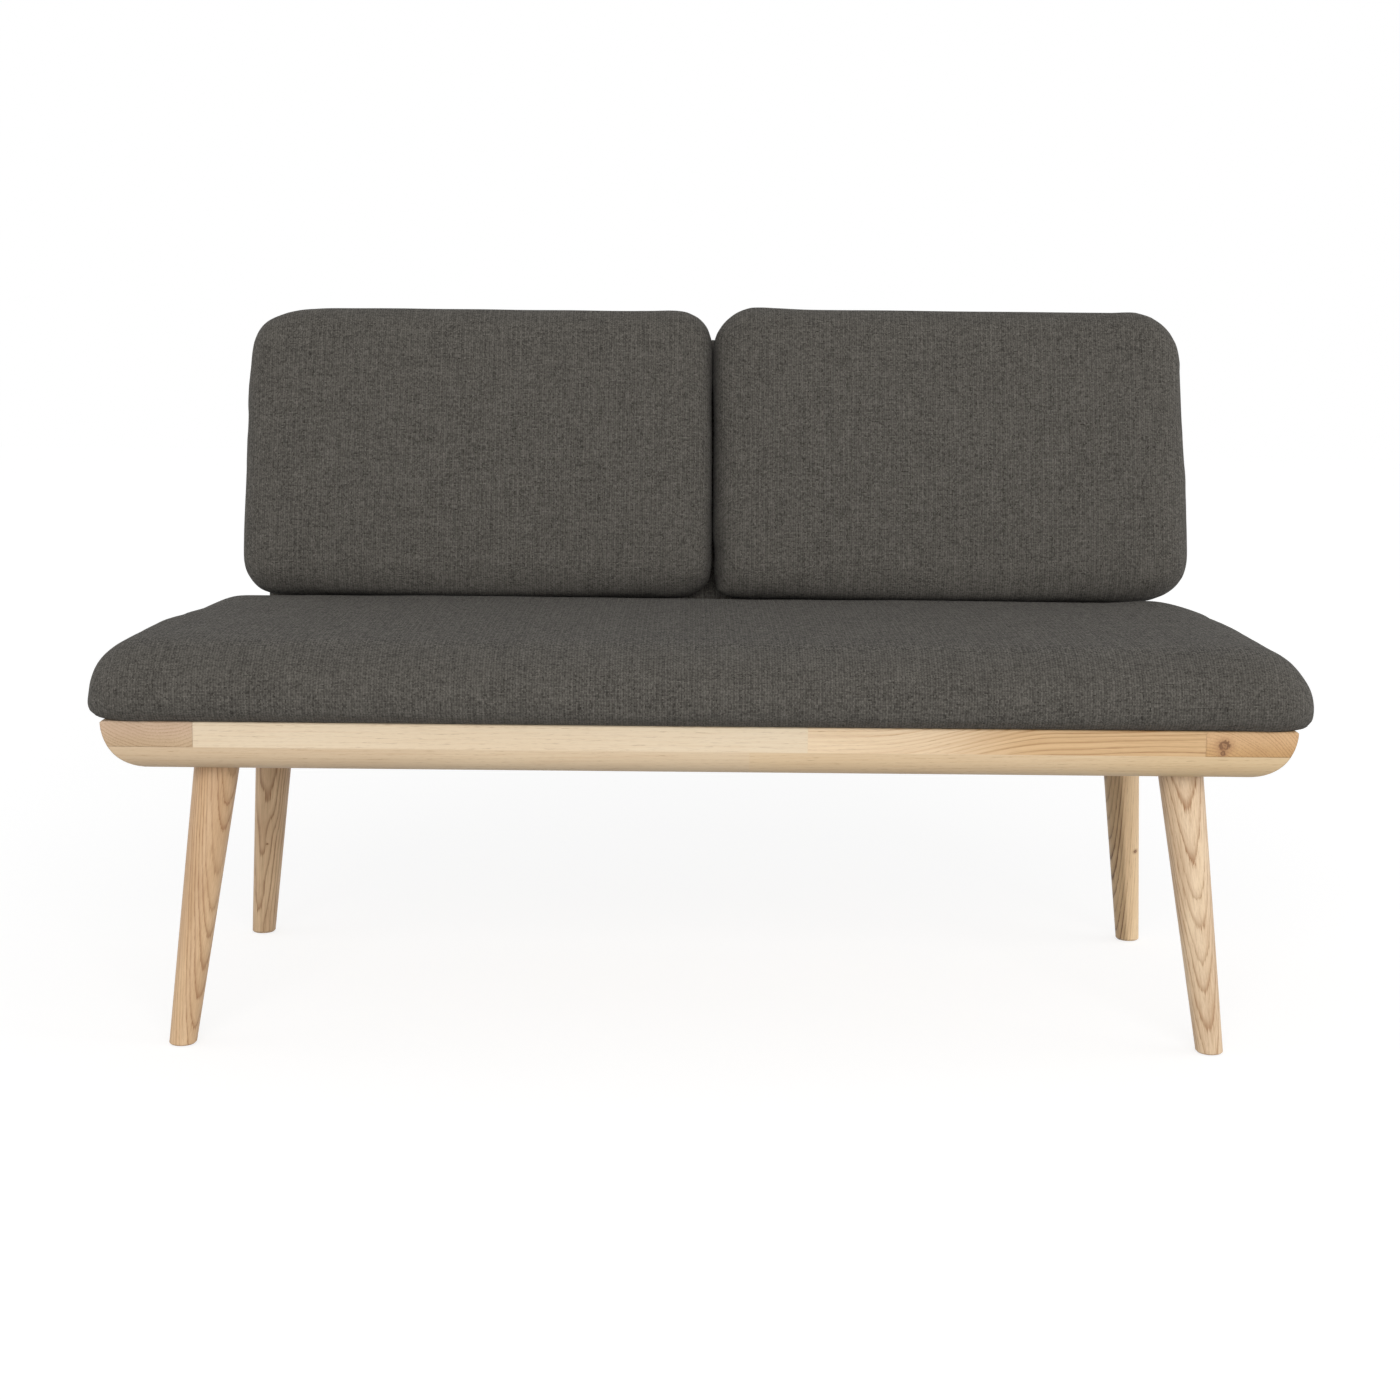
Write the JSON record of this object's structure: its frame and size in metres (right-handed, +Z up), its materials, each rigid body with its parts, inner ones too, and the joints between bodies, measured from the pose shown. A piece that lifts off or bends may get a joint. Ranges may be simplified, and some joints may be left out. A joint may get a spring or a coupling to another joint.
{
  "type": "sofa",
  "caption": "Two-seat sofa: solid ash platform on splayed tapered legs, full-width seat cushion, loose back cushions before a reclined upholstered back panel.",
  "frame": {"origin": "on the floor under the centre of the sofa's bounding box", "axes": "+Z up, +X along the sofa to the right seen from the front, +Y to the rear, so the open front faces -Y"},
  "size_m": [1.454, 0.7424, 0.8827],
  "materials": {
    "ash": "satin",
    "beech": "matte",
    "plywood": "matte",
    "cushion_fabric": "matte",
    "panel_fabric": "matte",
    "hook_tape": "matte",
    "black_steel": "matte",
    "zinc_steel": "satin",
    "glide_nylon": "matte"
  },
  "bodies": {
    "frame": {"front_rail": "ash", "rear_rail": "ash", "left_end_rail": "ash", "right_end_rail": "ash", "left_cross_rail": "beech", "right_cross_rail": "beech", "corner_dowels": "beech", "cross_rail_dowels": "beech", "seat_deck": "plywood", "deck_screws": "zinc_steel", "front_left_leg": "ash", "front_right_leg": "ash", "rear_left_leg": "ash", "rear_right_leg": "ash", "leg_bolts": "zinc_steel", "leg_washers": "zinc_steel", "leg_inserts": "zinc_steel", "foot_glides": "glide_nylon", "seat_grip_strips": "hook_tape", "back_board": "plywood", "back_cover_front": "panel_fabric", "back_cover_rear": "panel_fabric", "left_back_bracket": "black_steel", "right_back_bracket": "black_steel", "bracket_rail_screws": "black_steel", "bracket_bolts": "black_steel", "tee_nuts": "zinc_steel", "back_grip_strips": "hook_tape"},
    "seat_cushion": {"seat_cushion": "cushion_fabric"},
    "left_back_cushion": {"left_back_cushion": "cushion_fabric"},
    "right_back_cushion": {"right_back_cushion": "cushion_fabric"}
  },
  "joints": [
    {"name": "seat_cushion_off", "type": "slide", "parent": "frame", "child": "seat_cushion", "axis": [0, -0.9962, 0.0872], "range_m": [0, 0.64]},
    {"name": "left_back_cushion_off", "type": "slide", "parent": "frame", "child": "left_back_cushion", "axis": [0, 0.2756, 0.9613], "range_m": [0, 0.44]},
    {"name": "right_back_cushion_off", "type": "slide", "parent": "frame", "child": "right_back_cushion", "axis": [0, 0.2756, 0.9613], "range_m": [0, 0.44]}
  ]
}
